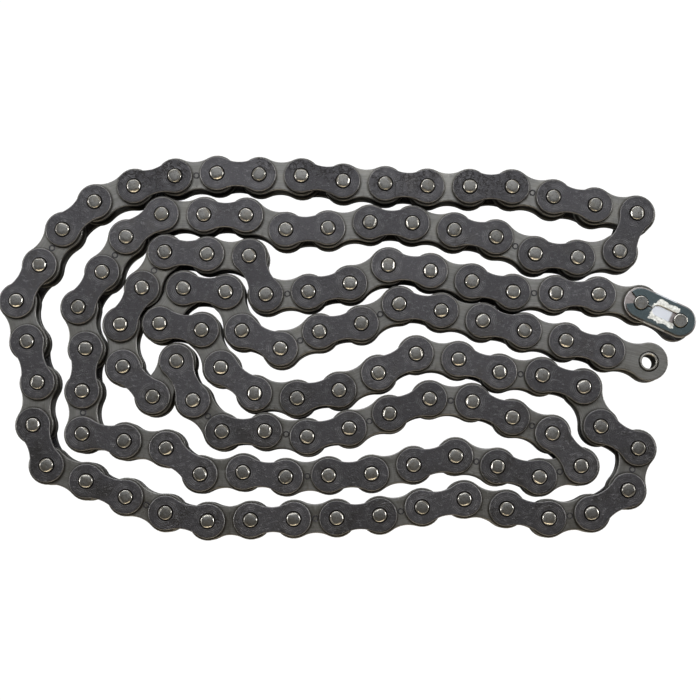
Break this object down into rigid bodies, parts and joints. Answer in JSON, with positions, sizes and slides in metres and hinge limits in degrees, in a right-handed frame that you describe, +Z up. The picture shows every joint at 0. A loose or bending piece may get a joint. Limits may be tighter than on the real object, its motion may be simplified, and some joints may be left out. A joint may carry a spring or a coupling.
{
  "type": "roller drive chain",
  "caption": "Riveted roller drive chain lying folded on its side, with a spring-clip connecting link at one end and an open bush at the other.",
  "frame": {"origin": "middle of the chain's footprint, on the surface that it lies on", "axes": "+Z up along every pin, +X along the strands towards the two free ends, +Y across the strands"},
  "size_m": [0.2608, 0.1446, 0.0178],
  "materials": {
    "dark_outer_plate": "dark oiled satin, scuffed",
    "grey_inner_plate": "warm grey satin, thin oil film",
    "ground_pin": "ground steel, brown oil at the edge",
    "bush_steel": "drawn steel, satin",
    "dark_roller": "dark, oiled",
    "bright_plate": "bright rolled steel with oil stains",
    "blued_spring_steel": "blue-black temper, bright worn arms"
  },
  "bodies": {
    "lay": {"stretch_1_outer_plates_upper": "dark_outer_plate", "stretch_1_outer_plates_lower": "dark_outer_plate", "stretch_1_inner_plates_upper": "grey_inner_plate", "stretch_1_inner_plates_lower": "grey_inner_plate", "stretch_1_pins": "ground_pin", "stretch_1_bushes": "bush_steel", "stretch_1_rollers": "dark_roller", "stretch_2_outer_plates_upper": "dark_outer_plate", "stretch_2_outer_plates_lower": "dark_outer_plate", "stretch_2_inner_plates_upper": "grey_inner_plate", "stretch_2_inner_plates_lower": "grey_inner_plate", "stretch_2_pins": "ground_pin", "stretch_2_bushes": "bush_steel", "stretch_2_rollers": "dark_roller", "stretch_3_outer_plates_upper": "dark_outer_plate", "stretch_3_outer_plates_lower": "dark_outer_plate", "stretch_3_inner_plates_upper": "grey_inner_plate", "stretch_3_inner_plates_lower": "grey_inner_plate", "stretch_3_pins": "ground_pin", "stretch_3_bushes": "bush_steel", "stretch_3_rollers": "dark_roller", "stretch_4_outer_plates_upper": "dark_outer_plate", "stretch_4_outer_plates_lower": "dark_outer_plate", "stretch_4_inner_plates_upper": "grey_inner_plate", "stretch_4_inner_plates_lower": "grey_inner_plate", "stretch_4_pins": "ground_pin", "stretch_4_bushes": "bush_steel", "stretch_4_rollers": "dark_roller"},
    "connecting_link": {"connecting_link_cover_plate": "bright_plate", "connecting_link_base_plate": "dark_outer_plate", "connecting_link_pins": "ground_pin", "spring_clip": "blued_spring_steel"},
    "link_2": {"link_2_inner_plate_upper": "grey_inner_plate", "link_2_inner_plate_lower": "grey_inner_plate", "link_2_bushes": "bush_steel"},
    "link_4": {"link_4_inner_plate_upper": "grey_inner_plate", "link_4_inner_plate_lower": "grey_inner_plate", "link_4_bushes": "bush_steel"},
    "link_118": {"link_118_inner_plate_upper": "grey_inner_plate", "link_118_inner_plate_lower": "grey_inner_plate", "link_118_bushes": "bush_steel"},
    "link_120": {"link_120_inner_plate_upper": "grey_inner_plate", "link_120_inner_plate_lower": "grey_inner_plate", "link_120_bushes": "bush_steel"},
    "link_3": {"link_3_outer_plate_upper": "dark_outer_plate", "link_3_outer_plate_lower": "dark_outer_plate", "link_3_pins": "ground_pin"},
    "link_119": {"link_119_outer_plate_upper": "dark_outer_plate", "link_119_outer_plate_lower": "dark_outer_plate", "link_119_pins": "ground_pin"},
    "roller_2": {"roller_2": "dark_roller"},
    "roller_3": {"roller_3": "dark_roller"},
    "roller_4": {"roller_4": "dark_roller"},
    "roller_5": {"roller_5": "dark_roller"},
    "roller_118": {"roller_118": "dark_roller"},
    "roller_119": {"roller_119": "dark_roller"},
    "roller_120": {"roller_120": "dark_roller"},
    "roller_121": {"roller_121": "dark_roller"}
  },
  "joints": [
    {"name": "pin_5_hinge", "type": "hinge", "parent": "lay", "child": "link_4", "pos_m": [0.06236, 0.02011, 0.0085], "axis": [0, 0, 1], "range_deg": [-4, 0]},
    {"name": "pin_4_hinge", "type": "hinge", "parent": "link_4", "child": "link_3", "pos_m": [0.07823, 0.0196, 0.0085], "axis": [0, 0, 1], "range_deg": [-6, 4]},
    {"name": "pin_3_hinge", "type": "hinge", "parent": "link_3", "child": "link_2", "pos_m": [0.09409, 0.0191, 0.0085], "axis": [0, 0, -1], "range_deg": [-20, 12]},
    {"name": "pin_2_hinge", "type": "hinge", "parent": "link_2", "child": "connecting_link", "pos_m": [0.10963, 0.01583, 0.0085], "axis": [0, 0, 1], "range_deg": [-25, 90]},
    {"name": "pin_118_hinge", "type": "hinge", "parent": "lay", "child": "link_118", "pos_m": [0.0664, 0.00554, 0.0085], "axis": [0, 0, 1], "range_deg": [-1, 6]},
    {"name": "pin_119_hinge", "type": "hinge", "parent": "link_118", "child": "link_119", "pos_m": [0.08183, 0.0018, 0.0085], "axis": [0, 0, 1], "range_deg": [-3, 8]},
    {"name": "pin_120_hinge", "type": "hinge", "parent": "link_119", "child": "link_120", "pos_m": [0.09726, -0.00194, 0.0085], "axis": [0, 0, -1], "range_deg": [-15, 45]},
    {"name": "roller_2_spin", "type": "hinge", "parent": "link_2", "child": "roller_2", "pos_m": [0.10963, 0.01583, 0.0085], "axis": [0, 0, 1], "continuous": true},
    {"name": "roller_3_spin", "type": "hinge", "parent": "link_2", "child": "roller_3", "pos_m": [0.09409, 0.0191, 0.0085], "axis": [0, 0, 1], "continuous": true},
    {"name": "roller_4_spin", "type": "hinge", "parent": "link_4", "child": "roller_4", "pos_m": [0.07823, 0.0196, 0.0085], "axis": [0, 0, 1], "continuous": true},
    {"name": "roller_5_spin", "type": "hinge", "parent": "link_4", "child": "roller_5", "pos_m": [0.06236, 0.02011, 0.0085], "axis": [0, 0, 1], "continuous": true},
    {"name": "roller_118_spin", "type": "hinge", "parent": "link_118", "child": "roller_118", "pos_m": [0.0664, 0.00554, 0.0085], "axis": [0, 0, 1], "continuous": true},
    {"name": "roller_119_spin", "type": "hinge", "parent": "link_118", "child": "roller_119", "pos_m": [0.08183, 0.0018, 0.0085], "axis": [0, 0, 1], "continuous": true},
    {"name": "roller_120_spin", "type": "hinge", "parent": "link_120", "child": "roller_120", "pos_m": [0.09726, -0.00194, 0.0085], "axis": [0, 0, 1], "continuous": true},
    {"name": "roller_121_spin", "type": "hinge", "parent": "link_120", "child": "roller_121", "pos_m": [0.11266, -0.00579, 0.0085], "axis": [0, 0, 1], "continuous": true}
  ]
}
